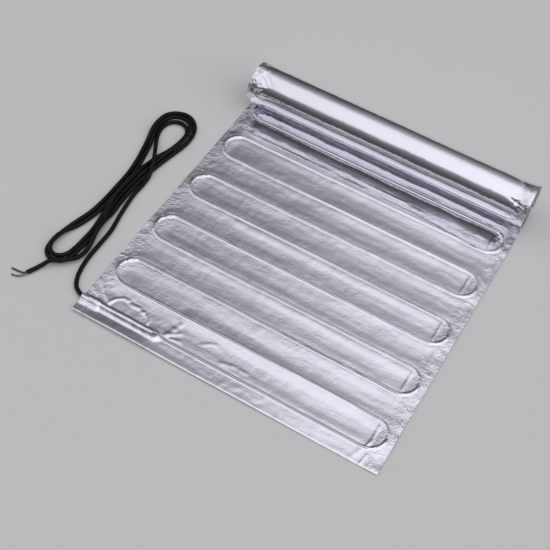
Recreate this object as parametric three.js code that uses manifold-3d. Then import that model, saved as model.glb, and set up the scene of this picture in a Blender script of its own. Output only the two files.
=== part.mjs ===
// Underfloor heating mat: a foil mat with its heating cable, part laid out flat and part rolled up,
// and a cold lead gathered in a loose hank beside it. Millimetres, +Z up.
// X runs along the roll's axis, Y from the free end towards the roll. The origin is on the floor,
// under the middle of the foil.
import * as THREE from 'three';
import { mergeVertices } from 'three/addons/utils/BufferGeometryUtils.js';
import Module from 'manifold-3d';

const wasm = await Module();
wasm.setup();

// Driving dimensions of the mat
const matWidth = 500;
const flatLength = 528;
const foilThickness = 0.4;
const archSides = 6;
const fitGap = 0.3;

// Driving dimensions of the heating cable and its runs
const cableDiameter = 2.6;
const cableSides = 8;
const runPitch = 51;
const firstRunInset = 27.7;
const turnMargin = 12;
const turnSteps = 8;

// Driving dimensions of the rolled part
const rollDiameter = 74;
const boreDiameter = 30;
const turnPitch = 2.6;
const turnGrooveWidth = 1.3;
const turnGrooveDepth = 2.5;
const rollSides = 48;
const spiralStepsPerTurn = 18;

// Driving dimensions of the joint and the cold lead
const jointDiameter = 5.6;
const jointLength = 92;
const jointInset = 32;
const jointBevel = 1;
const jointSides = 16;
const leadDiameter = 7;
const leadSides = 10;
const leadSteps = 18;
const tailSteps = 4;
const hankLayers = 2;
const hankEndSides = 16;
const coreDiameter = 2.4;
const coreSides = 8;
const coreSteps = 6;

// Heights of the layers, from the floor up
const coverBottom = foilThickness + fitGap;
const coverTop = coverBottom + foilThickness;
const cableAxisHeight = coverBottom + cableDiameter / 2;
const ridgeRadius = cableDiameter / 2 + fitGap + foilThickness;
const leadAxisHeight = coverBottom + leadDiameter / 2;

// Places along Y, from the front edge of the flat part to the back of the roll
const rollRadius = rollDiameter / 2;
const overallLength = flatLength + rollRadius;
const frontEdge = -overallLength / 2;
const rollAxisY = frontEdge + flatLength;
const firstRunY = frontEdge + firstRunInset;
const leftEdge = -matWidth / 2;

// How near the roll's round side a layer of a given height can come
function reachUnderRoll(height) {
  const rise = rollRadius - height;
  return rollAxisY - Math.sqrt(rollRadius ** 2 - rise ** 2) - fitGap;
}

// The runs that the flat part has room for. Half of the last turn shows before the roll covers it,
// and it is tighter than the others where the roll leaves it less room.
const turnRadius = runPitch / 2;
const turnX = matWidth / 2 - turnMargin;
const cableEndY = reachUnderRoll(cableAxisHeight + ridgeRadius);
const lastTurnRoom = cableEndY - cableDiameter - firstRunY;
const runCount = Math.floor((lastTurnRoom - turnRadius / 2) / runPitch) + 1;
const lastRunY = firstRunY + (runCount - 1) * runPitch;
const lastTurnRadius = Math.min(turnRadius, cableEndY - cableDiameter - lastRunY);
const lastSide = runCount % 2 === 0 ? -1 : 1;

// A route whose steps are its own points, so that a straight run takes one step
class SteppedRoute extends THREE.Curve {
  constructor(points) {
    super();
    this.points = points;
    this.stepCount = points.length - 1;
  }
  getPoint(t, target = new THREE.Vector3()) {
    const place = Math.min(Math.max(t, 0), 1) * this.stepCount;
    const index = Math.min(Math.floor(place), this.stepCount - 1);
    return target.lerpVectors(this.points[index], this.points[index + 1], place - index);
  }
  getPointAt(u, target) {
    return this.getPoint(u, target);
  }
  getTangentAt(u, target = new THREE.Vector3()) {
    const index = Math.round(u * this.stepCount);
    const before = this.points[Math.max(index - 1, 0)];
    const after = this.points[Math.min(index + 1, this.stepCount)];
    const here = this.points[index];
    const arriving = here.clone().sub(before).normalize();
    const leaving = after.clone().sub(here).normalize();
    return target.copy(arriving).add(leaving).normalize();
  }
}

function material(colour, roughness, metalness) {
  return new THREE.MeshStandardMaterial({ color: colour, roughness, metalness });
}

// Solid joins and cuts
function toSolid(geometry) {
  const bare = geometry.clone();
  bare.deleteAttribute('normal');
  bare.deleteAttribute('uv');
  const merged = mergeVertices(bare, 1e-4);
  const vertProperties = new Float32Array(merged.attributes.position.array);
  const triVerts = new Uint32Array(merged.index.array);
  return new wasm.Manifold(new wasm.Mesh({ numProp: 3, vertProperties, triVerts }));
}

function toGeometry(solid) {
  const mesh = solid.getMesh();
  const geometry = new THREE.BufferGeometry();
  geometry.setAttribute('position', new THREE.BufferAttribute(mesh.vertProperties, 3));
  geometry.setIndex(new THREE.BufferAttribute(mesh.triVerts, 1));
  geometry.computeVertexNormals();
  return geometry;
}

// An arch seen along its route: round over the top, with straight sides down past the layer it stands on.
// The first coordinate of the section points down and the second one sideways.
function archSection(radius, sideDepth) {
  const section = new THREE.Shape();
  section.moveTo(sideDepth, -radius);
  section.lineTo(0, -radius);
  section.absarc(0, 0, radius, -Math.PI / 2, -1.5 * Math.PI, true);
  section.lineTo(sideDepth, radius);
  section.closePath();
  return section;
}

function roundSection(diameter) {
  const section = new THREE.Shape();
  section.absarc(0, 0, diameter / 2, 0, 2 * Math.PI, false);
  return section;
}

// An arc in a section takes two sides for each curve segment
function sweep(section, sides, route, steps) {
  const curveSegments = sides / 2;
  return new THREE.ExtrudeGeometry(section, { steps, curveSegments, extrudePath: route });
}

function steppedSweep(section, sides, route) {
  return sweep(section, sides, route, route.stepCount);
}

// The heating cable's route: straight runs from side to side, joined by U turns near the margins
function cableRoute(startX, endY) {
  const points = [new THREE.Vector3(startX, firstRunY, cableAxisHeight)];
  for (let run = 0; run < runCount; run += 1) {
    const side = run % 2 === 0 ? 1 : -1;
    const isLast = run === runCount - 1;
    const runY = firstRunY + run * runPitch;
    const radius = isLast ? lastTurnRadius : turnRadius;
    const centreX = side * (turnX - radius);
    for (let step = 0; step <= (isLast ? turnSteps / 2 : turnSteps); step += 1) {
      const angle = (step / turnSteps) * Math.PI;
      const x = centreX + side * radius * Math.sin(angle);
      const y = runY + radius * (1 - Math.cos(angle));
      points.push(new THREE.Vector3(x, y, cableAxisHeight));
    }
  }
  points.push(new THREE.Vector3(lastSide * turnX, endY, cableAxisHeight));
  return new SteppedRoute(points);
}

// Base foil: the lower sheet, flat on the floor up to the underside of the roll
const baseFoilLength = reachUnderRoll(foilThickness) - frontEdge;
const baseFoil = new THREE.Mesh(
  new THREE.BoxGeometry(matWidth, baseFoilLength, foilThickness),
  material(0xb9b8c0, 0.3, 0.9),
);
baseFoil.name = 'base_foil';
baseFoil.position.set(0, frontEdge + baseFoilLength / 2, foilThickness / 2);

// Heating cable: one long cable laid in runs between the two foils
const cableStartX = leftEdge + jointInset + jointLength + fitGap;
const heatingCable = new THREE.Mesh(
  steppedSweep(roundSection(cableDiameter), cableSides, cableRoute(cableStartX, cableEndY)),
  material(0x4a4a50, 0.6, 0.1),
);
heatingCable.name = 'heating_cable';

// Cover foil: the upper sheet, drawn down tight round the cable, the joint and the start of the cold lead
function coverFoilSolid() {
  const past = 1;
  const length = reachUnderRoll(coverTop) - frontEdge;
  const sheet = new THREE.BoxGeometry(matWidth, length, foilThickness);
  sheet.translate(0, frontEdge + length / 2, coverBottom + foilThickness / 2);
  const ridge = steppedSweep(
    archSection(ridgeRadius, cableAxisHeight - coverBottom),
    archSides,
    cableRoute(cableStartX, cableEndY),
  );
  const groove = steppedSweep(
    archSection(cableDiameter / 2 + fitGap, cableAxisHeight),
    archSides,
    cableRoute(cableStartX - past, cableEndY + past),
  );
  const arch = (radius, depth, fromX, toX) => toSolid(steppedSweep(
    archSection(radius, depth),
    archSides,
    new SteppedRoute([
      new THREE.Vector3(fromX, firstRunY, leadAxisHeight),
      new THREE.Vector3(toX, firstRunY, leadAxisHeight),
    ]),
  ));
  const leadRadius = leadDiameter / 2 + 2 * fitGap;
  const leadEnd = leftEdge + jointInset;
  const sleeveRadius = jointDiameter / 2 + fitGap;
  const sleeveEnd = cableStartX + fitGap;
  const ridgeDepth = leadAxisHeight - coverBottom;
  const leadRidge = arch(leadRadius + foilThickness, ridgeDepth, leftEdge, leadEnd + foilThickness);
  const sleeveRidge = arch(sleeveRadius + foilThickness, ridgeDepth, leadEnd, sleeveEnd + foilThickness);
  const leadGroove = arch(leadRadius, leadAxisHeight, leftEdge - past, leadEnd);
  const sleeveGroove = arch(sleeveRadius, leadAxisHeight, leftEdge - past, sleeveEnd);
  const raised = toSolid(sheet).add(toSolid(ridge)).add(leadRidge).add(sleeveRidge);
  return raised.subtract(toSolid(groove)).subtract(leadGroove).subtract(sleeveGroove);
}

const coverFoil = new THREE.Mesh(toGeometry(coverFoilSolid()), material(0xc9c8d2, 0.3, 0.9));
coverFoil.name = 'cover_foil';

// Rolled mat: one turned solid with its bore, and a spiral groove in each end that shows the turns
function rolledMatSolid() {
  const past = 1;
  const halfWidth = matWidth / 2;
  const boreRadius = boreDiameter / 2;
  const profile = [
    new THREE.Vector2(boreRadius, -halfWidth),
    new THREE.Vector2(rollRadius, -halfWidth),
    new THREE.Vector2(rollRadius, halfWidth),
    new THREE.Vector2(boreRadius, halfWidth),
    new THREE.Vector2(boreRadius, -halfWidth),
  ];
  const ring = new THREE.LatheGeometry(profile, rollSides);
  ring.rotateX(Math.PI / 2);
  const turnThickness = turnPitch - turnGrooveWidth;
  const turnCount = Math.floor((rollRadius - boreRadius) / turnPitch - 1);
  const stepCount = turnCount * spiralStepsPerTurn;
  const outer = [];
  const inner = [];
  for (let step = 0; step <= stepCount; step += 1) {
    const angle = (step / spiralStepsPerTurn) * 2 * Math.PI;
    const radius = rollRadius - turnThickness - turnPitch * (step / spiralStepsPerTurn);
    outer.push(new THREE.Vector2(radius * Math.cos(angle), radius * Math.sin(angle)));
    const innerRadius = radius - turnGrooveWidth;
    inner.push(new THREE.Vector2(innerRadius * Math.cos(angle), innerRadius * Math.sin(angle)));
  }
  const ribbon = new THREE.Shape([...outer, ...inner.reverse()]);
  const cutDepth = turnGrooveDepth + past;
  const cut = new THREE.ExtrudeGeometry(ribbon, { depth: cutDepth, bevelEnabled: false });
  const rightCut = cut.clone().translate(0, 0, halfWidth - turnGrooveDepth);
  const leftCut = cut.clone().translate(0, 0, -halfWidth - past);
  return toSolid(ring).subtract(toSolid(rightCut)).subtract(toSolid(leftCut));
}

const rolledMat = new THREE.Mesh(toGeometry(rolledMatSolid()), material(0xb9b8c0, 0.25, 0.9));
rolledMat.name = 'rolled_mat';
rolledMat.rotation.y = Math.PI / 2;
rolledMat.position.set(0, rollAxisY, rollRadius);

// Cold lead joint: the shrunk sleeve that joins the heating cable to the cold lead, between the foils
const jointRadius = jointDiameter / 2;
const jointProfile = [
  new THREE.Vector2(0, -jointLength / 2),
  new THREE.Vector2(jointRadius - jointBevel / 2, -jointLength / 2),
  new THREE.Vector2(jointRadius, -jointLength / 2 + jointBevel),
  new THREE.Vector2(jointRadius, jointLength / 2 - jointBevel),
  new THREE.Vector2(jointRadius - jointBevel / 2, jointLength / 2),
  new THREE.Vector2(0, jointLength / 2),
];
const coldLeadJoint = new THREE.Mesh(
  new THREE.LatheGeometry(jointProfile, jointSides),
  material(0x18181a, 0.5, 0),
);
coldLeadJoint.name = 'cold_lead_joint';
coldLeadJoint.rotation.z = -Math.PI / 2;
coldLeadJoint.position.set(leftEdge + jointInset + jointLength / 2, firstRunY, leadAxisHeight);

// Cold lead, from the joint out of the mat's left edge and along the floor to the hank
const leadFloor = leadDiameter / 2;
const leadStartX = leftEdge + jointInset - fitGap;
const leadRoute = new THREE.CatmullRomCurve3([
  new THREE.Vector3(leadStartX, firstRunY, leadAxisHeight),
  new THREE.Vector3(-236, firstRunY, leadAxisHeight),
  new THREE.Vector3(-251, firstRunY + 0.2, leadAxisHeight - 0.2),
  new THREE.Vector3(-264, -249, leadFloor + 0.5),
  new THREE.Vector3(-273, -238, leadFloor),
  new THREE.Vector3(-279.5, -221, leadFloor),
  new THREE.Vector3(-284, -193, leadFloor),
  new THREE.Vector3(-285, -160, leadFloor),
  new THREE.Vector3(-286, -130, leadFloor),
  new THREE.Vector3(-290, -108, leadFloor),
  new THREE.Vector3(-293, -92, leadFloor),
  new THREE.Vector3(-294, -80, leadFloor),
]);
const blackSheath = material(0x0b0b0d, 0.45, 0);
const coldLead = new THREE.Mesh(
  sweep(roundSection(leadDiameter), leadSides, leadRoute, leadSteps),
  blackSheath,
);
coldLead.name = 'cold_lead';

// Cold lead hank: the outer shape of the gathered strands, wide at its two looped ends and narrow between
const hankEndX = -320;
const hankFarCentreY = 109;
const hankFarRadius = 36;
const hankNearCentreY = -198;
const hankNearRadius = 30;
const hankNeckLeftX = -344;
const hankNeckRightX = -287;
const hankNeckY = -50;
const hankShoulderX = -301;
const hankShoulderY = -80 + fitGap;

function hankOutline() {
  const outline = new THREE.Shape();
  outline.absarc(hankEndX, hankNearCentreY, hankNearRadius, Math.PI, 2 * Math.PI, false);
  outline.quadraticCurveTo(hankEndX + hankNearRadius, -150, hankShoulderX, -120);
  outline.lineTo(hankShoulderX, hankShoulderY);
  outline.lineTo(hankNeckRightX, hankShoulderY);
  outline.lineTo(hankNeckRightX - 4, hankNeckY);
  outline.quadraticCurveTo(hankEndX + hankFarRadius - 4, 40, hankEndX + hankFarRadius, hankFarCentreY);
  outline.absarc(hankEndX, hankFarCentreY, hankFarRadius, 0, Math.PI, false);
  outline.quadraticCurveTo(hankEndX - hankFarRadius + 6, 30, hankNeckLeftX, hankNeckY);
  outline.quadraticCurveTo(hankNeckLeftX, -120, hankEndX - hankNearRadius, hankNearCentreY);
  return outline;
}

const coldLeadHank = new THREE.Mesh(
  new THREE.ExtrudeGeometry(hankOutline(), {
    depth: hankLayers * leadDiameter, bevelEnabled: false, curveSegments: hankEndSides / 2,
  }),
  blackSheath.clone(),
);
coldLeadHank.name = 'cold_lead_hank';

// Cold lead tail: the free end that leaves the hank, with its two stripped cores
const tailRoute = new THREE.CatmullRomCurve3([
  new THREE.Vector3(-328.6, -228, leadFloor),
  new THREE.Vector3(-332, -239, leadFloor),
  new THREE.Vector3(-336.5, -251, leadFloor),
  new THREE.Vector3(-343, -264, leadFloor),
]);
const coldLeadTail = new THREE.Mesh(
  sweep(roundSection(leadDiameter), leadSides, tailRoute, tailSteps),
  blackSheath.clone(),
);
coldLeadTail.name = 'cold_lead_tail';

function core(name, colour, points) {
  const route = new THREE.CatmullRomCurve3(points);
  const geometry = sweep(roundSection(coreDiameter), coreSides, route, coreSteps);
  const mesh = new THREE.Mesh(geometry, material(colour, 0.5, 0));
  mesh.name = name;
  return mesh;
}

const brownCore = core('brown_core', 0x5a3524, [
  new THREE.Vector3(-344.6, -263.8, leadFloor),
  new THREE.Vector3(-346.6, -266.8, 3.2),
  new THREE.Vector3(-352.5, -268.2, 2.4),
  new THREE.Vector3(-368, -268.8, 1.7),
]);
const creamCore = core('cream_core', 0xb8b0a0, [
  new THREE.Vector3(-342.1, -265.1, leadFloor),
  new THREE.Vector3(-343.9, -268.8, 3.2),
  new THREE.Vector3(-349, -275, 2.4),
  new THREE.Vector3(-361, -278.5, 1.7),
]);

const mat = new THREE.Group();
mat.add(baseFoil, coverFoil, heatingCable, rolledMat);
mat.add(coldLeadJoint, coldLead, coldLeadHank, coldLeadTail, brownCore, creamCore);

export default mat;
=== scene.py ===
import bpy
import numpy as np
from mathutils import Matrix, Vector, noise


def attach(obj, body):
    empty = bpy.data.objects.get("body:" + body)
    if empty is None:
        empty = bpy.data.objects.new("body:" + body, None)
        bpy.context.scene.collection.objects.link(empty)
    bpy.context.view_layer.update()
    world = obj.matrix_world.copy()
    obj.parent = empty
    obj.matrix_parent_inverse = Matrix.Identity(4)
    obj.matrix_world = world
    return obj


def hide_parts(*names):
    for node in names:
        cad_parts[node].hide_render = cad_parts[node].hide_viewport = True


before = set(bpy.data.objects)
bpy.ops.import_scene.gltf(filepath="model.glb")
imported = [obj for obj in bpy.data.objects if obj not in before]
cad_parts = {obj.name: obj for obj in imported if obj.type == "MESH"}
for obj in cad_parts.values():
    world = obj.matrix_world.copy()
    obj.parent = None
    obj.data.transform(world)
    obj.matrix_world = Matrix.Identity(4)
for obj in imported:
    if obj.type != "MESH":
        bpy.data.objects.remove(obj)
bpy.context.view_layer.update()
MM = 0.001


# Camera
# It stands in front of the mat, to its right and above it, at the photograph's angle and distance.
camera_data = bpy.data.cameras.new("camera")
camera_data.sensor_width = 36
camera_data.lens = 75.86
camera = bpy.data.objects.new("camera", camera_data)
bpy.context.scene.collection.objects.link(camera)
camera_right = Vector((0.86385, 0.49805, 0.07554))
camera_up = Vector((-0.43766, 0.66779, 0.60209))
camera_back = Vector((0.24943, -0.55317, 0.79485))
camera_place = Vector((0.40274, -1.03243, 1.39079))
camera.matrix_world = Matrix((
    (camera_right.x, camera_up.x, camera_back.x, camera_place.x),
    (camera_right.y, camera_up.y, camera_back.y, camera_place.y),
    (camera_right.z, camera_up.z, camera_back.z, camera_place.z),
    (0, 0, 0, 1),
))
bpy.context.scene.camera = camera
bpy.context.scene.view_settings.view_transform = "Standard"


# Floor and light
# A plain pale floor, and a room whose light is one wide soft panel overhead: it reaches from high up in
# front, over the mat, and fades towards the back, as foil is photographed.
class Shade:
    """A socket that can be used in sums; any other node comes from its node method."""

    def __init__(self, tree, socket):
        self.tree = tree
        self.socket = socket

    @staticmethod
    def node(tree, kind, settings=None, inputs=None, output=0):
        made = tree.nodes.new(kind)
        settings = dict(settings or {})
        stops = settings.pop("stops", None)
        for name, value in settings.items():
            setattr(made, name, value)
        if stops:
            ramp = made.color_ramp
            while len(ramp.elements) < len(stops):
                ramp.elements.new(0.5)
            for element, (place, colour) in zip(ramp.elements, stops):
                element.position = place
                element.color = colour
        for name, value in (inputs or {}).items():
            if isinstance(value, Shade):
                tree.links.new(value.socket, made.inputs[name])
            else:
                made.inputs[name].default_value = value
        return Shade(tree, made.outputs[output])

    def _math(self, operation, first, second):
        return Shade.node(self.tree, "ShaderNodeMath", {"operation": operation}, {0: first, 1: second})

    def __add__(self, other):
        return self._math("ADD", self, other)

    __radd__ = __add__

    def __sub__(self, other):
        return self._math("SUBTRACT", self, other)

    def __rsub__(self, other):
        return self._math("SUBTRACT", other, self)

    def __mul__(self, other):
        return self._math("MULTIPLY", self, other)

    __rmul__ = __mul__

    def __gt__(self, other):
        return self._math("GREATER_THAN", self, other)


def new_material(name):
    """A material with its tree and its main shader."""
    made = bpy.data.materials.new(name)
    made.use_nodes = True
    return made, made.node_tree, made.node_tree.nodes["Principled BSDF"]


def deselect_all():
    bpy.ops.object.select_all(action="DESELECT")


floor_size = 60
floor_drop = 0.0004
floor_material, tree, shader = new_material("pale_floor")
shader.inputs["Base Color"].default_value = (0.73, 0.735, 0.69, 1)
shader.inputs["Roughness"].default_value = 0.75
deselect_all()
bpy.ops.mesh.primitive_plane_add(size=floor_size, location=(0, 0, 0))
floor = bpy.context.active_object
floor.name = "floor"
floor.data.transform(Matrix.Translation((0, 0, -floor_drop)))
floor.data.materials.append(floor_material)


world = bpy.data.worlds.new("studio")
bpy.context.scene.world = world
world.use_nodes = True
tree = world.node_tree
direction = Shade.node(tree, "ShaderNodeTexCoord", output="Generated")
parts = Shade.node(tree, "ShaderNodeSeparateXYZ", inputs={0: direction})
sideways = Shade(tree, parts.socket.node.outputs["X"])
backwards = Shade(tree, parts.socket.node.outputs["Y"])
upwards = Shade(tree, parts.socket.node.outputs["Z"])
# The place on the arc from the back horizon (0) over the zenith (90) to the front horizon (180)
arc = Shade.node(tree, "ShaderNodeMath", {"operation": "ARCTAN2"}, {0: upwards, 1: backwards}) * (180 / np.pi)
panel_levels = [
    (0, 0.085), (10, 0.105), (22, 0.14), (34, 0.26), (45, 0.41), (51, 0.52), (58, 0.79), (64, 0.95),
    (74, 1.02), (92, 1.06), (124, 1.04), (133, 0.94), (138, 0.44), (144, 0.25), (154, 0.15), (165, 0.09),
    (180, 0.08),
]
panel_stops = [(place / 180, (level * 0.985, level * 0.97, level * 1.05, 1)) for place, level in panel_levels]
panel = Shade.node(tree, "ShaderNodeValToRGB", {"stops": panel_stops}, {"Fac": arc * (1 / 180)})
sideways_fall = Shade.node(
    tree, "ShaderNodeMapRange", {"interpolation_type": "SMOOTHSTEP"},
    {"Value": sideways, "From Min": -0.80, "From Max": 0.15, "To Min": 0.62, "To Max": 1.06},
)
# Low behind the mat it also fades towards the left
left_loss = Shade.node(
    tree, "ShaderNodeMapRange",
    inputs={"Value": sideways, "From Min": -0.36, "From Max": -0.15, "To Min": 0.42, "To Max": 0.0},
)
low_behind = Shade.node(
    tree, "ShaderNodeMapRange", {"interpolation_type": "SMOOTHSTEP"},
    {"Value": arc, "From Min": 58.0, "From Max": 72.0, "To Min": 1.0, "To Max": 0.0},
)
background = tree.nodes["Background"]
tree.links.new(panel.socket, background.inputs["Color"])
tree.links.new((sideways_fall * (1 - left_loss * low_behind)).socket, background.inputs["Strength"])


# Cold lead
# The supply lead: a round cable in a black rubber sheath, cut off square at its free end.
# It leaves the joint between the foils, comes out of the mat's left edge and lies on the floor,
# gathered in a loose hank of three laps that is wide at its ends and squeezed in the middle.
lead_diameter = 7.0
joint_start = (-218.3, -254.8, 4.2)
lead_out = [
    joint_start,
    (-236, -254.8, 4.2),
    (-251, -254.6, 4.0),
    (-264, -249, 4.0),
    (-273, -238, 3.5),
    (-279.5, -221, 3.5),
    (-284, -193, 3.5),
    (-285, -160, 3.5),
    (-286, -130, 3.5),
    (-290, -108, 3.5),
    (-293, -92, 3.5),
    (-295.5, -74, 3.5),
    (-298, -50, 3.5),
    (-298, -24, 3.5),
    (-299.5, -6, 5.0),
    (-303.5, 8, 9.6),
    (-311, 25, 10.6),
    (-321, 44, 10.0),
    (-331, 62, 6.5),
]
# The laps: up the left side, round the far loop, down the right side and round the near loop
first_lap = [
    (-339.5, 82, 3.6), (-341.4, 96, 3.5), (-338.8, 108, 3.5), (-331, 117.2, 3.5), (-320, 120.6, 3.5),
    (-309, 117.2, 3.5), (-301.4, 108.5, 3.5), (-298.8, 97, 3.5), (-299.5, 80, 3.5), (-303.5, 58, 3.5),
    (-311, 36, 3.5), (-315, 18, 4.0), (-316.8, 0, 7.0), (-318, -22, 9.6), (-318.5, -50, 9.8),
    (-318, -78, 8.8), (-316, -100, 5.4), (-312.5, -126, 3.6), (-310, -148, 3.5), (-310.5, -170, 3.5),
    (-311, -188, 4.2), (-312.4, -202, 6.0), (-318.2, -213, 7.2), (-328.2, -217.8, 7.6),
    (-338.4, -213.6, 8.4), (-344.2, -203, 9.4), (-345, -189, 9.4), (-342, -172, 7.2), (-335.5, -154, 3.6),
    (-329, -134, 3.5), (-324.5, -112, 3.5), (-323, -84, 3.5), (-322.8, -50, 3.5), (-323, -20, 3.5),
    (-326.5, 6, 3.5), (-331.5, 30, 3.5), (-338, 56, 3.5),
]
second_lap = [
    (-344.5, 76, 4.6), (-348.5, 96, 4.8), (-346, 115, 3.6), (-337, 128, 3.5), (-323, 132, 3.5),
    (-309, 127.5, 4.6), (-299.5, 114.5, 7.4), (-295.3, 97, 9.3), (-295.5, 78, 9.4), (-299.5, 56, 8.0),
    (-305, 36, 3.8), (-308, 18, 3.5), (-310.5, 0, 3.5), (-313.5, -22, 3.5), (-314.7, -50, 3.5),
    (-313.8, -78, 4.0), (-310.6, -100, 6.8), (-306.5, -124, 5.6), (-303, -148, 3.5), (-303.5, -170, 3.5),
    (-305.4, -190, 3.5), (-306.4, -203, 3.5), (-310.5, -214.5, 3.5), (-318, -222, 3.5), (-327.5, -224.6, 3.5),
    (-337, -221.8, 3.5), (-344.6, -213.8, 3.5), (-347.9, -202, 3.5), (-347.2, -184, 3.5), (-344, -163, 3.5),
    (-338.5, -140, 3.5), (-333, -118, 3.5), (-330.3, -90, 3.5), (-330, -50, 3.5), (-330.5, -20, 3.5),
    (-334, 8, 3.5), (-339, 32, 3.5),
]
last_lap = [
    (-345.3, 58, 3.8), (-350.5, 80, 8.0), (-352, 102, 8.6), (-348.5, 121, 7.6), (-339, 135, 4.6),
    (-325, 141, 3.5), (-310.5, 138, 3.5), (-298, 127, 3.5), (-290.5, 110, 3.5), (-288.5, 92, 3.5),
    (-290.5, 72, 3.5), (-295, 50, 3.5), (-299, 30, 3.5), (-302, 10, 3.5), (-304.5, -10, 3.5),
    (-306, -30, 3.5), (-306.8, -55, 3.5), (-306, -80, 3.5), (-304, -102, 4.0), (-303, -124, 8.6),
    (-300.5, -146, 10.4), (-296, -166, 8.4), (-293.8, -184, 5.4), (-296.5, -202, 6.0), (-305, -216, 9.4),
    (-316.5, -225, 10.6), (-326, -232.5, 8.8), (-332, -241, 5.0), (-337, -251.5, 3.6), (-343, -264, 3.5),
]
lead_route = lead_out + first_lap + second_lap + last_lap


# The length of a curve's handle against its chord, as a round bend needs
handle_share = 0.347


def cord_curve(name, points, diameter, sides=4):
    """A round cord through the points, given in millimetres."""
    data = bpy.data.curves.new(name, "CURVE")
    data.dimensions = "3D"
    data.bevel_depth = diameter / 2 * MM
    data.bevel_resolution = sides
    data.resolution_u = 5
    data.use_fill_caps = True
    spline = data.splines.new("BEZIER")
    spline.bezier_points.add(len(points) - 1)
    places = [Vector(place) * MM for place in points]
    for index, knot in enumerate(spline.bezier_points):
        here = places[index]
        into = here - places[index - 1] if index else places[1] - here
        out = places[index + 1] - here if index + 1 < len(places) else into
        bearing = (into.normalized() + out.normalized()).normalized()
        knot.co = here
        knot.handle_left_type = "FREE"
        knot.handle_right_type = "FREE"
        knot.handle_left = here - bearing * into.length * handle_share
        knot.handle_right = here + bearing * out.length * handle_share
    made = bpy.data.objects.new(name, data)
    bpy.context.scene.collection.objects.link(made)
    return made


cold_lead = cord_curve("cold_lead_cable", lead_route, lead_diameter)

sheath_material, tree, shader = new_material("black_rubber_sheath")
place = Shade.node(tree, "ShaderNodeTexCoord", output="Object")
grain = Shade.node(tree, "ShaderNodeTexNoise", inputs={"Vector": place, "Scale": 900.0, "Detail": 3.0})
dust = Shade.node(tree, "ShaderNodeTexNoise", inputs={"Vector": place, "Scale": 45.0, "Detail": 4.0})
dust_amount = Shade.node(
    tree, "ShaderNodeMapRange", inputs={"Value": dust, "From Min": 0.42, "From Max": 0.75, "To Max": 0.35}
)
sheath_colour = Shade.node(
    tree, "ShaderNodeMix", {"data_type": "RGBA"},
    {"Factor": dust_amount, 6: (0.0022, 0.0022, 0.0026, 1), 7: (0.010, 0.009, 0.010, 1)}, output=2,
)
tree.links.new(sheath_colour.socket, shader.inputs["Base Color"])
tree.links.new((dust * 0.18 + 0.36).socket, shader.inputs["Roughness"])
shader.inputs["Specular IOR Level"].default_value = 0.22
bump = Shade.node(
    tree, "ShaderNodeBump", inputs={"Height": grain, "Strength": 0.12, "Distance": 0.0004}
)
tree.links.new(bump.socket, shader.inputs["Normal"])
cold_lead.data.materials.append(sheath_material)
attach(cold_lead, "root")
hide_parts("cold_lead", "cold_lead_hank", "cold_lead_tail")


# Cores
# Two thin stranded cores stripped out of the lead's end: one brown and one cream,
# each with a few millimetres of bare copper at its tip. They splay apart and droop to the floor.
core_diameter = 2.4
bare_tip = 4.0
core_paths = {
    "brown_core": [
        (-344.6, -263.8, 3.5), (-346.6, -266.8, 3.2), (-352.5, -268.2, 2.4),
        (-360, -268.6, 1.9), (-368, -268.8, 1.7),
    ],
    "cream_core": [
        (-342.1, -265.1, 3.5), (-343.9, -268.8, 3.2), (-349, -275, 2.4),
        (-355, -277.6, 1.9), (-361, -278.5, 1.7),
    ],
}
core_colours = {"brown_core": (0.036, 0.022, 0.014, 1), "cream_core": (0.20, 0.175, 0.12, 1)}
for core_name, points in core_paths.items():
    core = cord_curve(core_name + "_wire", points, core_diameter, 3)
    core_material, tree, shader = new_material(core_name + "_insulation")
    place = Shade.node(tree, "ShaderNodeTexCoord", output="Object")
    along = Shade.node(tree, "ShaderNodeSeparateXYZ", inputs={0: place}, output="X")
    tip_start = (points[-1][0] + bare_tip) * MM
    tip = 1 - (along > tip_start)
    smudge = Shade.node(tree, "ShaderNodeTexNoise", inputs={"Vector": place, "Scale": 400.0})
    insulation = Shade.node(
        tree, "ShaderNodeMix", {"data_type": "RGBA"},
        {"Factor": smudge * 0.5, 6: core_colours[core_name], 7: (0.05, 0.04, 0.035, 1)}, output=2,
    )
    colour = Shade.node(
        tree, "ShaderNodeMix", {"data_type": "RGBA"},
        {"Factor": tip, 6: insulation, 7: (0.20, 0.13, 0.07, 1)}, output=2,
    )
    tree.links.new(colour.socket, shader.inputs["Base Color"])
    tree.links.new((tip * 0.9).socket, shader.inputs["Metallic"])
    tree.links.new((smudge * 0.2 + 0.35).socket, shader.inputs["Roughness"])
    core.data.materials.append(core_material)
    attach(core, "root")
    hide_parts(core_name)


# Heating cable
# One long thin cable in parallel runs with U turns near both margins. It lies between the foils,
# so it shows only as their ridges. The CAD piece stays, with a sheath of its own.
mat_half_width = 250.0
front_edge = -282.5
roll_axis_y = 245.5
roll_radius = 37.0
run_pitch = 51.0
first_run_y = -254.8
run_count = 10
turn_x = 238.0
turn_radius = run_pitch / 2
last_turn_radius = 21.7
cable_start_x = -125.7
cable_end_y = 228.5
hidden_end = 8.0
steps_of_half_circle = 12


def cable_points():
    """The cable's route in plan: straight runs, with short steps round each U turn."""
    points = [(cable_start_x, first_run_y)]
    for run in range(run_count):
        side = 1 if run % 2 == 0 else -1
        last = run == run_count - 1
        radius = last_turn_radius if last else turn_radius
        steps = steps_of_half_circle // 2 if last else steps_of_half_circle
        for step in range(steps + 1):
            angle = step / steps_of_half_circle * np.pi
            across = side * (turn_x - radius + radius * np.sin(angle))
            points.append((across, first_run_y + run * run_pitch + radius * (1 - np.cos(angle))))
    points.append((-turn_x, cable_end_y + hidden_end))
    return np.array(points)


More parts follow.
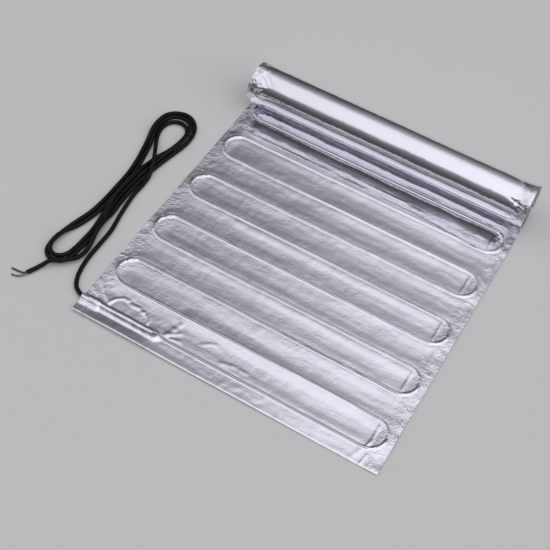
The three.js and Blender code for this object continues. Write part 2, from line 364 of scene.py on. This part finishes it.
cable_material, tree, shader = new_material("cable_sheath")
place = Shade.node(tree, "ShaderNodeTexCoord", output="Object")
mottle = Shade.node(tree, "ShaderNodeTexNoise", inputs={"Vector": place, "Scale": 300.0})
colour = Shade.node(
    tree, "ShaderNodeMix", {"data_type": "RGBA"},
    {"Factor": mottle, 6: (0.10, 0.10, 0.11, 1), 7: (0.17, 0.17, 0.18, 1)}, output=2,
)
tree.links.new(colour.socket, shader.inputs["Base Color"])
tree.links.new((mottle * 0.2 + 0.4).socket, shader.inputs["Roughness"])
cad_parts["heating_cable"].data.materials.clear()
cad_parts["heating_cable"].data.materials.append(cable_material)


# Cold lead joint
# A straight shrunk sleeve over the splice between heating cable and cold lead, between the foils.
# The CAD piece stays, in black shrunk tube with faint rings.
joint_material, tree, shader = new_material("shrunk_sleeve")
place = Shade.node(tree, "ShaderNodeTexCoord", output="Object")
rings = Shade.node(
    tree, "ShaderNodeTexWave", {"wave_type": "BANDS", "bands_direction": "X"},
    {"Vector": place, "Scale": 120.0, "Distortion": 1.5}, output=1,
)
colour = Shade.node(
    tree, "ShaderNodeMix", {"data_type": "RGBA"},
    {"Factor": rings, 6: (0.010, 0.010, 0.011, 1), 7: (0.020, 0.020, 0.021, 1)}, output=2,
)
tree.links.new(colour.socket, shader.inputs["Base Color"])
tree.links.new((rings * 0.15 + 0.4).socket, shader.inputs["Roughness"])
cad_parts["cold_lead_joint"].data.materials.clear()
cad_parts["cold_lead_joint"].data.materials.append(joint_material)


# Cover foil
# The upper foil of the laid-out part: thin aluminium laminate, drawn down by hand over the cable,
# so that each run is a fine ridge. Its margins are crumpled, and its front edge stands off the floor.
foil_thickness = 0.22
cover_rest = 0.80
mean_rise = 0.3
cover_end_y = roll_axis_y - 8
cable_top = 3.66
ridge_width = 1.35
sleeve_top = 7.75
sleeve_end_x = -123.0
lead_top = 8.75
lead_end_x = -222.0
overshoot = 5.0
sag_depth = 0.85
sag_from = 3.5
sag_to = 21.0
crease_x = 220.0
edge_lift = 4.5
lift_reach = 24.0
rim_depth = 0.5
rim_reach = 1.0
# Edges sharper than this angle, in radians, are shaded sharp: it keeps the rims crisp
rim_angle = 1.3

# Folds, fine lines and broad swells: the places of each in plan, its height and its width
loose_bend = [
    ([(-213, -247), (-207, -232), (-198, -225), (-188, -225)], 1.5, 1.3),
    ([(-186, -229), (-170, -228), (-155, -232), (-146, -239), (-144, -246)], 1.7, 1.1),
]
folds_by_joint = [
    ([(-110, -248), (-105, -228), (-100, -214)], 1.5, 1.1),
    ([(-109, -247), (-112, -229)], 1.2, 1.0),
    ([(-107, -244), (-93, -231)], 1.4, 1.1),
    ([(-104, -250), (-86, -244)], 1.2, 1.1),
    ([(-246, -213), (-224, -234), (-210, -245)], 1.2, 1.2),
    ([(-247, -231), (-226, -246)], 1.0, 1.2),
    ([(-60, -232), (-44, -222), (-30, -224)], 0.9, 1.3),
    ([(-20, -244), (4, -238), (22, -240)], 1.0, 1.4),
]
folds_at_front_right = [
    ([(206, -282), (214, -262), (221, -240)], 0.8, 1.3),
    ([(222, -282), (225, -262)], 0.8, 1.3),
]
folds_by_roll = [
    ([(-205, 167), (-90, 165), (40, 160), (120, 158), (205, 153)], 0.55, 1.2),
    ([(214, 206), (226, 203), (231, 192), (228, 182)], 0.8, 1.5),
    ([(-30, 176), (60, 174), (100, 171)], 0.4, 1.2),
]
broad_swells = [
    ([(-130, -9), (60, -7), (200, -6)], 0.60, 9.0),
    ([(-40, 149), (170, 150)], 0.40, 7.0),
    ([(-100, -202), (0, -205), (170, -208)], 0.75, 9.0),
    ([(-90, -168), (10, -172), (60, -170)], 0.45, 8.0),
    ([(-30, -110), (120, -112), (210, -114)], 0.45, 8.0),
    ([(-150, -66), (-60, -72), (30, -70)], 0.25, 5.0),
    ([(0, -160), (180, -158)], 0.35, 8.0),
]
cover_lines = loose_bend + folds_by_joint + folds_at_front_right + folds_by_roll + broad_swells
# How much each strip between two runs rises towards the roll
strip_tilts = (-0.5, 0.3, 0.0, -0.4, 0.2, -0.3, 0.0, 0.0, 0.0, 0.0)
# Rows of the mesh that follow a run's ridge, as distances from its middle
ridge_steps = (-6.4, -4.4, -3.2, -2.2, -1.4, -0.7, 0, 0.7, 1.4, 2.2, 3.2, 4.4, 6.4)


def segment_distance(px, py, route):
    """The distance of each point from a route in plan."""
    best = np.full(px.shape, 1e9)
    for (ax, ay), (bx, by) in zip(route[:-1], route[1:]):
        dx, dy = bx - ax, by - ay
        share = np.clip(((px - ax) * dx + (py - ay) * dy) / max(dx * dx + dy * dy, 1e-9), 0, 1)
        best = np.minimum(best, np.hypot(px - ax - share * dx, py - ay - share * dy))
    return best


def smooth_step(low, high, value):
    share = np.clip((value - low) / (high - low), 0, 1)
    return share * share * (3 - 2 * share)


def lines_height(px, py, lines):
    """The height that folds and swells add, each with its places, its height and its width."""
    total = np.zeros(px.shape)
    for route, height, width in lines:
        total += height * np.exp(-(segment_distance(px, py, route) / width) ** 2)
    return total


def creases(px, py, scale, seed, octaves):
    """Sharp-edged crumples: the height of a ridged noise at each point, from about -1 to 1."""
    made = np.empty(px.shape)
    for index in np.ndindex(px.shape):
        made[index] = noise.ridged_multi_fractal(
            Vector((px[index] / scale, py[index] / scale, seed)), 0.9, 2.1, octaves, 0.9, 2.0,
            noise_basis="PERLIN_ORIGINAL",
        )
    return made - 1.0


def waves(px, py, scale, seed, octaves=3):
    """Soft unevenness, from about -1 to 1."""
    made = np.empty(px.shape)
    for index in np.ndindex(px.shape):
        made[index] = noise.fractal(
            Vector((px[index] / scale, py[index] / scale, seed)), 0.8, 2.0, octaves,
            noise_basis="PERLIN_ORIGINAL",
        )
    return made


def front_lift(px, py):
    """How far the front edge stands off the floor, most of all by the left corner."""
    along = 0.18 + 0.34 * (1 - smooth_step(0, 190, px)) + 0.48 * (1 - smooth_step(-150, -70, px))
    return edge_lift * along * np.clip(1 - (py - front_edge) / lift_reach, 0, 1)


def far_side(distance, width):
    """The steep side of the foil over the joint, drawn close to what lies under it."""
    return np.exp(-(distance / width) ** 4)


def near_side(distance, flat, reach, foot):
    """The side towards the front edge, which hangs like a tent's wall and runs out softly."""
    return 0.75 * np.clip(1 - (distance - flat) / reach, 0, 1) + 0.25 * np.exp(-(distance / foot) ** 2)


def strip_tilt(px, py):
    """The tilt of each strip between two runs, which ends before the turns."""
    strip = (py - first_run_y) / run_pitch
    share = strip - np.floor(strip)
    tilts = np.array(strip_tilts)[np.clip(np.floor(strip).astype(int), 0, len(strip_tilts) - 1)]
    inside = smooth_step(0, 0.14, share) * (1 - smooth_step(0.86, 1, share))
    return tilts * (share - 0.5) * inside * (1 - smooth_step(195, 225, np.abs(px)))


def joint_cover(lead, sleeve, beyond):
    """The foil's rise over the lead and the sleeve, at each point's distance from them."""
    over_lead = far_side(lead, 5.5) * beyond + near_side(lead, 3, 8.5, 8.0) * (1 - beyond)
    over_sleeve = far_side(sleeve, 4.1) * beyond + near_side(sleeve, 2.4, 6.6, 6.5) * (1 - beyond)
    skirt = 0.4 * np.exp(-(sleeve / 9.0) ** 2) * beyond
    tallest = np.maximum(over_lead * (lead_top - cover_rest), over_sleeve * (sleeve_top - cover_rest))
    return np.maximum(tallest, skirt)


def crease_by_turns(px, py):
    """The crease down the right turns, sharpest across the inside of each, and the rise outside it."""
    inside_turn = np.exp(-(((py - first_run_y) % (2 * run_pitch) - run_pitch / 2) / 18.0) ** 6)
    crease = (0.12 + 0.68 * inside_turn) * np.exp(-np.abs(px - crease_x) / 1.5)
    return crease + 0.7 * smooth_step(0, 26, px - crease_x)


def crumpling(px, py, run, sleeve, beyond):
    """Fine unevenness: strongest in the margins, along the front, beside the joint and by the roll's ends."""
    margin = 1 - smooth_step(8, 34, mat_half_width - np.abs(px))
    beyond_turns = smooth_step(0, 10, run - 3) * margin
    front_right = (1 - smooth_step(8, 24, py - front_edge)) * smooth_step(-115, -95, px)
    by_joint = np.exp(-(((px + 170) / 75) ** 2 + ((py + 238) / 24) ** 2))
    by_roll = smooth_step(roll_axis_y - 100, roll_axis_y - 35, py) * smooth_step(150, 232, np.abs(px))
    on_tent = np.exp(-((sleeve - 6.5) / 3.5) ** 2) * (1 - beyond)
    in_margins = (0.42 - 0.10 * (px > 0)) * beyond_turns
    crumple = 0.06 + in_margins + 0.30 * front_right + 0.20 * by_joint + 0.40 * by_roll
    crumple = crumple * (1 + 0.9 * on_tent)
    calm = 1 - 0.9 * smooth_step(120, 145, py) * (1 - smooth_step(190, 225, np.abs(px)))
    sharp = creases(px, py, 18.0, 3.1, 2) * crumple * calm * 1.5
    mottled = waves(px, py, 8.0, 51.3, 2) * 0.55 * on_tent
    ripples = waves(px, py / 2.4, 9.0, 5.7, 2) * (0.07 + 0.08 * margin) * calm
    streaks = waves(px / 8, py, 8.0, 27.5) * 0.13 * calm
    broad = waves(px / 1.8, py, 46.0, 8.4) * (0.28 + 0.12 * by_joint)
    return sharp + mottled + ripples + streaks + broad


def cover_height(px, py):
    """The height of the cover foil's upper side."""
    run = segment_distance(px, py, cable_points())
    uneven = 1 + 0.45 * waves(px / 9, py, 30.0, 41.3, 2)
    less_by_roll = 1 - 0.75 * smooth_step(166, 184, py)
    sag = sag_depth * uneven * (1 - smooth_step(sag_from, sag_to, run)) * less_by_roll
    ridge = np.maximum(cable_top - cover_rest - sag, 0) * np.exp(-(run / ridge_width) ** 2)
    outside = (-mat_half_width - overshoot, first_run_y)
    lead = segment_distance(px, py, [outside, (lead_end_x, first_run_y)])
    sleeve = segment_distance(px, py, [outside, (sleeve_end_x, first_run_y)])
    beyond = smooth_step(-3, 3, py - first_run_y)
    drawn = cover_rest + sag + ridge + joint_cover(lead, sleeve, beyond)
    folded = strip_tilt(px, py) + crease_by_turns(px, py) + lines_height(px, py, cover_lines)
    raised = drawn + folded + crumpling(px, py, run, sleeve, beyond) + mean_rise
    rim = rim_depth * np.clip(1 - (py - front_edge) / rim_reach, 0, 1)
    return np.maximum(raised, cover_rest) + front_lift(px, py) - rim


def stations(low, high, coarse, fine, near):
    """Places along one direction: fine steps near the named places and coarse ones elsewhere."""
    places = [low]
    while places[-1] < high:
        close = any(abs(places[-1] - middle) < reach for middle, reach in near)
        places.append(places[-1] + (fine if close else coarse))
    places[-1] = high
    return np.array(places)


def rows_with_runs(low, high, coarse):
    """Places across the runs: close steps over each run and even ones between them."""
    marks = [low, low + rim_reach]
    for run in range(run_count):
        marks += [first_run_y + run * run_pitch + step for step in ridge_steps]
    marks.append(high)
    rows = [low]
    for mark in sorted(mark for mark in marks if low < mark <= high):
        gap = mark - rows[-1]
        parts = max(int(np.ceil(gap / coarse)), 1)
        rows += [rows[-1] + gap * (part + 1) / parts for part in range(parts)]
    return np.array(rows)


def shaped_grid(name, columns, rows, place_at, thickness, outwards):
    """A thin closed sheet: a grid with each vertex at its place, given a thickness."""
    deselect_all()
    bpy.ops.mesh.primitive_grid_add(x_subdivisions=len(columns) - 1, y_subdivisions=len(rows) - 1, size=2)
    made = bpy.context.active_object
    made.name = name
    grid = np.empty(len(made.data.vertices) * 3)
    made.data.vertices.foreach_get("co", grid)
    grid = grid.reshape(-1, 3)
    column = np.rint((grid[:, 0] + 1) / 2 * (len(columns) - 1)).astype(int)
    row = np.rint((grid[:, 1] + 1) / 2 * (len(rows) - 1)).astype(int)
    places = np.stack(place_at(columns[column], rows[row]), axis=1) * MM
    made.data.vertices.foreach_set("co", places.ravel())
    made.data.update()
    solidify = made.modifiers.new("thickness", "SOLIDIFY")
    solidify.thickness = thickness * MM
    solidify.offset = outwards
    bpy.ops.object.modifier_apply(modifier="thickness")
    bpy.ops.object.shade_smooth_by_angle(angle=rim_angle)
    return made


def foil_material(name, tone, roughness, grain, crumple, ends, calm_from=1.0):
    """Bright aluminium laminate: faintly lavender silver, its gloss broken by fine ripples and crumples.

    The grain is the ripples' depth and crumple the depth of the sharp creases, in millimetres. The creases
    fade in over the last centimetres before the foil's ends, which start at a distance from the middle.
    Past calm_from, a place along the mat, the foil is smoother and glossier.
    """
    made, tree, shader = new_material(name)
    place = Shade.node(tree, "ShaderNodeTexCoord", output="Object")
    parts = Shade.node(tree, "ShaderNodeSeparateXYZ", inputs={0: place}).socket.node
    across = Shade(tree, parts.outputs["X"])
    along = Shade(tree, parts.outputs["Y"])

    def noise_at(across_scale, scale, detail, distortion):
        scales = (across_scale, scale, scale)
        stretched = Shade.node(tree, "ShaderNodeVectorMath", {"operation": "MULTIPLY"}, {0: place, 1: scales})
        return Shade.node(
            tree, "ShaderNodeTexNoise",
            inputs={
                "Vector": stretched,
                "Scale": 1.0,
                "Detail": detail,
                "Roughness": 0.55,
                "Distortion": distortion,
            },
        )

    def size_of(value):
        return Shade.node(tree, "ShaderNodeMath", {"operation": "ABSOLUTE"}, {0: value})

    def fade(value, start, length, first, last):
        return Shade.node(
            tree, "ShaderNodeMapRange", {"interpolation_type": "SMOOTHSTEP"},
            {"Value": value, "From Min": start, "From Max": start + length, "To Min": first, "To Max": last},
        )

    ripple = noise_at(130, 150, 3.0, 0.6)
    streak = noise_at(30, 110, 2.0, 1.2)
    patch = noise_at(16, 16, 2.0, 0.0)
    large_crease = size_of(noise_at(120, 120, 1.0, 0.6) - 0.5)
    small_crease = size_of(noise_at(260, 230, 1.0, 0.3) - 0.5)
    near_end = fade(size_of(across), ends, 0.020, 0.10, 1.0)
    calm = fade(along, calm_from, 0.02, 1.0, 0.08)
    patchy = Shade.node(
        tree, "ShaderNodeMapRange",
        inputs={"Value": patch, "From Min": 0.35, "From Max": 0.65, "To Min": 0.5, "To Max": 1.3},
    )
    soft_relief = (ripple * (grain * 0.75) + streak * (grain * 0.6)) * patchy * calm
    relief = soft_relief + (large_crease * 1.3 + small_crease * 0.7) * near_end * crumple
    bump = Shade.node(tree, "ShaderNodeBump", inputs={"Height": relief, "Strength": 1.0, "Distance": MM})
    tree.links.new(bump.socket, shader.inputs["Normal"])
    dull = (tone * 0.95, tone * 0.945, tone * 0.985, 1)
    clear = (tone, tone * 0.99, tone * 1.05, 1)
    colour = Shade.node(
        tree, "ShaderNodeMix", {"data_type": "RGBA"}, {"Factor": patch, 6: dull, 7: clear}, output=2
    )
    tree.links.new(colour.socket, shader.inputs["Base Color"])
    shader.inputs["Metallic"].default_value = 1.0
    gloss = ripple * 0.10 + near_end * 0.04 + calm * (roughness * 0.6) + (roughness * 0.4 - 0.06)
    tree.links.new(gloss.socket, shader.inputs["Roughness"])
    return made


# Where the mesh is finer: places across the mat with their reach
turn_places = [(turn_x - 10, 14), (10 - turn_x, 14)]
joint_place = (-165, 48)
cover_xs = stations(-mat_half_width, mat_half_width, 3.6, 1.8, turn_places + [joint_place])
cover_ys = rows_with_runs(front_edge, cover_end_y, 3.0)


def cover_place(px, py):
    return px, py, cover_height(px, py)


cover_foil = shaped_grid("cover_foil_sheet", cover_xs, cover_ys, cover_place, foil_thickness, -1)
cover_foil.data.materials.append(foil_material("crumpled_foil", 0.88, 0.16, 0.30, 0.7, 0.215, 0.166))
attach(cover_foil, "root")
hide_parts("cover_foil")


# Base foil
# The lower foil of the laid-out part, smooth and flat on the floor, bonded to the cover foil round the
# edges. It stands off the floor with it at the front edge.
base_top = 0.42
base_end_y = roll_axis_y - 5
base_xs = stations(-mat_half_width, mat_half_width, 9.0, 5.0, [(-200, 60)])
base_ys = stations(front_edge, base_end_y, 9.0, 2.5, [(front_edge + 10, 22)])


def base_place(px, py):
    return px, py, base_top + front_lift(px, py)


base_foil = shaped_grid("base_foil_sheet", base_xs, base_ys, base_place, foil_thickness, -1)
base_foil.data.materials.append(foil_material("smooth_foil", 0.86, 0.20, 0.25, 0.6, 0.215))
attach(base_foil, "root")
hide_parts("base_foil")


# Rolled mat
# The rest of the same mat, wound up with its smooth underside outwards. It starts under the roll,
# goes up its back and over the top, and winds inwards. The outer margins flare out a little.
floor_gap = 0.05
turn_pitch = 2.6
turn_count = 8.4
wound_thickness = 0.9
outer_turn = 1.05
outer_rows = 120
inner_rows_per_turn = 30
flare_height = 2.4
circumference = 2 * np.pi * roll_radius
# Creases of the outer turn: places across the mat with their angle from the front up, height and width
star_crease = [
    ([(230, 44), (239, 59)], -1.3, 1.6),
    ([(230, 44), (226, 36)], -1.2, 1.6),
    ([(230, 44), (236, 27)], -1.3, 1.6),
    ([(236, 27), (243, 12)], -1.2, 2.0),
    ([(230, 44), (219, 47)], -0.9, 1.5),
    ([(230, 44), (241, 40)], -1.0, 1.5),
]
margin_step = [([(218, 108), (232, 94), (238, 80)], 1.0, 1.8)]
left_dents = [
    ([(-232, 78), (-224, 68), (-214, 56)], -1.1, 1.7),
    ([(-244, 66), (-230, 62), (-222, 50)], -0.9, 1.8),
]
left_hook = [
    ([(-222, 40), (-238, 30), (-243, 16), (-232, 8)], 1.2, 2.2),
    ([(-243, 16), (-241, -16)], 0.9, 2.2),
]
roll_creases = [
    ([(at, (270 - angle) / 360 * circumference) for at, angle in route], height, width)
    for route, height, width in star_crease + margin_step + left_dents + left_hook
]


def wound_height(px, turn):
    """How far the sheet stands out from its plain winding: soft dents, creases and crumpled ends."""
    around = turn * circumference
    left_end = 1 - smooth_step(6, 34, px + mat_half_width)
    right_end = 1 - smooth_step(4, 24, mat_half_width - px)
    dents = waves(px / 2, around, 34.0, 21.7) * 0.22 + waves(px, around, 16.0, 33.1, 2) * 0.6 * left_end
    crumple = creases(px, around, 13.0, 12.9, 3) * (0.03 + 0.75 * left_end + 0.45 * right_end)
    on_top = 0.5 + 0.5 * np.cos(2 * np.pi * (turn - 0.5))
    flare = flare_height * (1 - smooth_step(0, 22, mat_half_width - px)) * on_top
    outer = 1 - smooth_step(0.9, 1.15, turn)
    uneven = (dents + crumple + flare) * (0.25 + 0.75 * outer)
    return (uneven + lines_height(px, around, roll_creases) * outer) * smooth_step(0.0, 0.12, turn)


def wound_place(px, turn):
    """A point of the wound sheet, its turn counted from under the roll and up its back."""
    radius = roll_radius - floor_gap - turn_pitch * turn + wound_height(px, turn)
    angle = turn * 2 * np.pi
    height = roll_radius - radius * np.cos(angle)
    return px, roll_axis_y + radius * np.sin(angle), np.maximum(height, floor_gap)


turns = np.concatenate([
    np.linspace(0, outer_turn, outer_rows),
    np.arange(outer_turn + 1 / inner_rows_per_turn, turn_count, 1 / inner_rows_per_turn),
])
end_places = [(14 - mat_half_width, 24), (mat_half_width - 20, 34)]
roll_xs = stations(-mat_half_width, mat_half_width, 7.0, 2.6, end_places)
rolled_foil = shaped_grid("rolled_foil", roll_xs, turns, wound_place, wound_thickness, 1)
rolled_foil.data.materials.append(foil_material("rolled_smooth_foil", 0.88, 0.08, 0.06, 1.3, 0.226))
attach(rolled_foil, "root")
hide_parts("rolled_mat")
